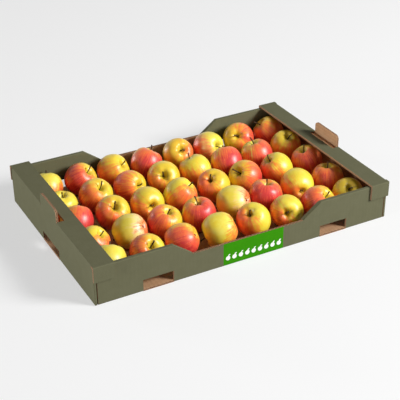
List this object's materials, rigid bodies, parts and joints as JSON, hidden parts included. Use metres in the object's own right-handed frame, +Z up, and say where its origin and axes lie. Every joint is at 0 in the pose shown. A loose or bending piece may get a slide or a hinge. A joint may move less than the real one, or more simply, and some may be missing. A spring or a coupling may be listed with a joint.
{
  "type": "fruit box",
  "caption": "Shallow open fruit box folded from printed corrugated board, with end shelves, stacking tabs and a low-cut front, packed with one layer of apples.",
  "frame": {"origin": "middle of the tray's underside, on the surface that it stands on", "axes": "+X along the long side, +Y towards the back long wall, +Z up"},
  "size_m": [0.602, 0.408, 0.1014],
  "materials": {
    "board": "matte print over kraft board",
    "apple": "smooth waxy skin"
  },
  "bodies": {
    "root": {"tray": "board", "apple_row1_1": "apple", "apple_row1_2": "apple", "apple_row1_3": "apple", "apple_row1_4": "apple", "apple_row1_5": "apple", "apple_row1_6": "apple", "apple_row1_7": "apple", "apple_row1_8": "apple", "apple_row2_1": "apple", "apple_row2_2": "apple", "apple_row2_3": "apple", "apple_row2_4": "apple", "apple_row2_5": "apple", "apple_row2_6": "apple", "apple_row2_7": "apple", "apple_row2_8": "apple", "apple_row3_1": "apple", "apple_row3_2": "apple", "apple_row3_3": "apple", "apple_row3_4": "apple", "apple_row3_5": "apple", "apple_row3_6": "apple", "apple_row3_7": "apple", "apple_row3_8": "apple", "apple_row4_1": "apple", "apple_row4_2": "apple", "apple_row4_3": "apple", "apple_row4_4": "apple", "apple_row4_5": "apple", "apple_row4_6": "apple", "apple_row4_7": "apple", "apple_row4_8": "apple", "apple_row5_1": "apple", "apple_row5_2": "apple", "apple_row5_3": "apple", "apple_row5_4": "apple", "apple_row5_5": "apple", "apple_row5_6": "apple", "apple_row5_7": "apple", "apple_row5_8": "apple"}
  },
  "joints": []
}
